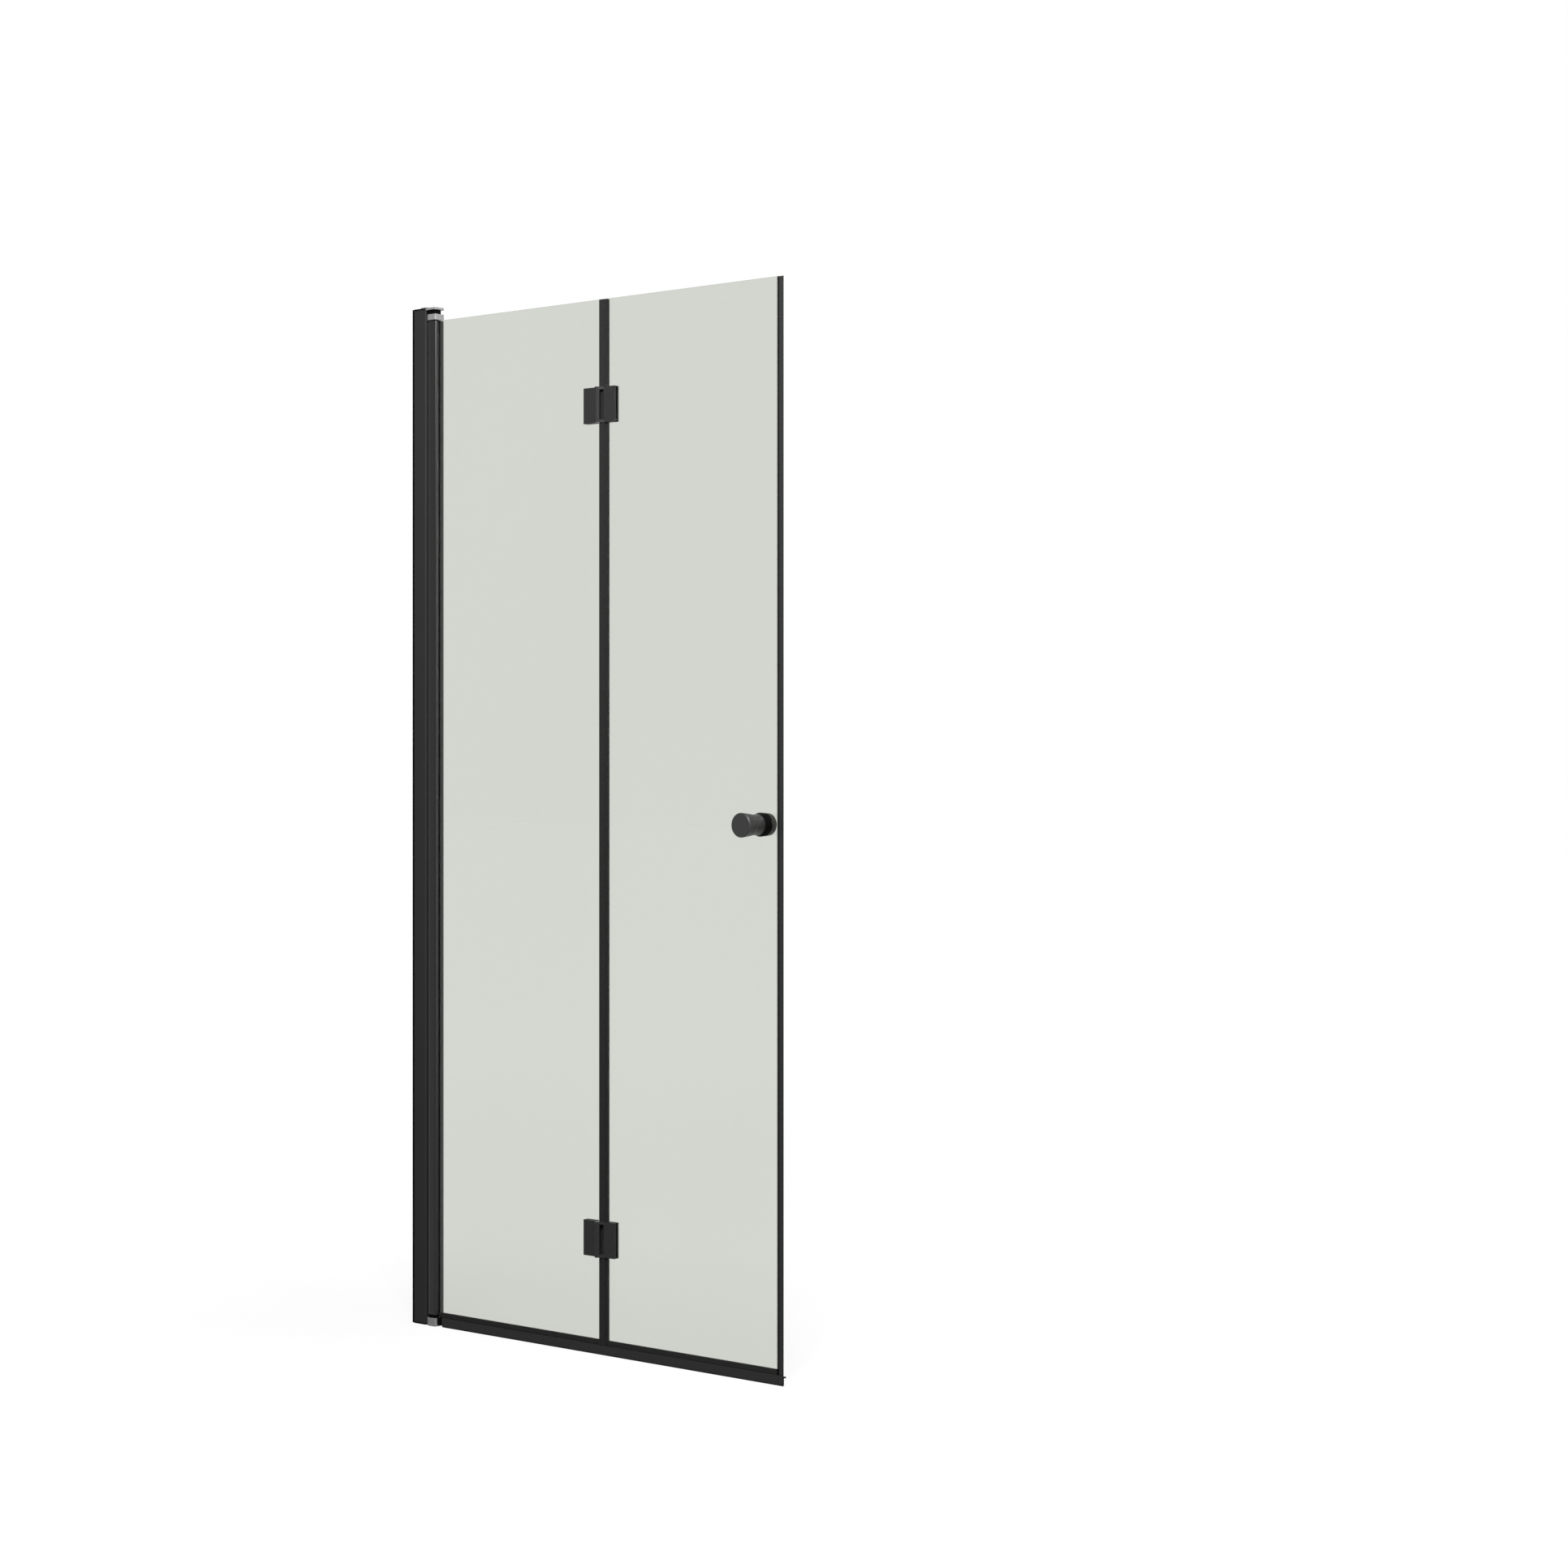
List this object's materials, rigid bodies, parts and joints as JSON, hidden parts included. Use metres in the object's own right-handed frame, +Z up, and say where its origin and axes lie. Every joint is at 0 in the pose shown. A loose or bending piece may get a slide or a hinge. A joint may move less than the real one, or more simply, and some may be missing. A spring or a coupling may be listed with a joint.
{
  "type": "bifold shower door",
  "caption": "Frameless folding shower door in matt black: clear glass leaves on a wall pivot with outside fold hinges, a knob, a magnetic mitred edge and a low floor rail.",
  "frame": {"origin": "where the wall face, the glass centre plane and the floor meet", "axes": "+X along the closed door from the wall to the closing corner, -Y outside where the knob is, +Z up"},
  "size_m": [0.9, 0.0778, 1.9155],
  "materials": {
    "black_aluminium": "matt powder coat",
    "dark_aluminium": "matt powder coat in shade",
    "satin_black": "satin lacquer",
    "grey_moulding": "satin",
    "black_moulding": "satin",
    "black_seal": "matt",
    "steel": "brushed",
    "white_moulding": "satin",
    "clear_glass": "clear, polished edges"
  },
  "bodies": {
    "wall_frame": {"wall_channel": "dark_aluminium", "adjusting_profile": "black_aluminium", "adjusting_screws": "steel", "screw_caps": "black_moulding", "top_end_cap": "black_moulding", "bottom_end_cap": "black_moulding", "top_bracket": "grey_moulding", "top_bearing_block": "grey_moulding", "spacer_block": "black_moulding", "bottom_bracket": "grey_moulding", "bracket_screws": "steel", "top_pivot_pin": "steel", "bottom_pivot_pin": "steel", "threshold_rail": "black_aluminium", "bedding_strip": "black_seal", "threshold_connector": "black_moulding", "threshold_end_cap": "black_moulding"},
    "leaf_1": {"pivot_profile": "black_aluminium", "top_pivot_insert": "black_moulding", "bottom_pivot_insert": "black_moulding", "top_washer": "black_moulding", "thrust_washer": "black_moulding", "glazing_gasket": "black_seal", "glass_panel_1": "clear_glass", "bottom_seal_1": "black_seal", "upper_outer_plate_1": "black_aluminium", "upper_inner_plate_1": "black_aluminium", "upper_pads_1": "black_seal", "upper_screws_1": "steel", "upper_hinge_bush": "white_moulding", "lower_outer_plate_1": "black_aluminium", "lower_inner_plate_1": "black_aluminium", "lower_pads_1": "black_seal", "lower_screws_1": "steel", "lower_hinge_bush": "white_moulding"},
    "leaf_2": {"glass_panel_2": "clear_glass", "fold_seal": "black_seal", "bottom_seal_2": "black_seal", "closing_profile": "black_aluminium", "magnet_strip": "black_seal", "outer_knob": "satin_black", "knob_rosette": "black_moulding", "inner_knob": "satin_black", "knob_stud": "steel", "knob_washers": "black_seal", "knob_sleeve": "white_moulding", "upper_outer_plate_2": "black_aluminium", "upper_inner_plate_2": "black_aluminium", "upper_pads_2": "black_seal", "upper_screws_2": "steel", "upper_hinge_pin": "steel", "lower_outer_plate_2": "black_aluminium", "lower_inner_plate_2": "black_aluminium", "lower_pads_2": "black_seal", "lower_screws_2": "steel", "lower_hinge_pin": "steel"}
  },
  "joints": [
    {"name": "wall_pivot", "type": "hinge", "parent": "wall_frame", "child": "leaf_1", "pos_m": [0.0484, 0, 0], "axis": [0, 0, 1], "range_deg": [0, 90]},
    {"name": "fold", "type": "hinge", "parent": "leaf_1", "child": "leaf_2", "pos_m": [0.4747, -0.011, 0], "axis": [0, 0, -1], "range_deg": [0, 165]}
  ]
}
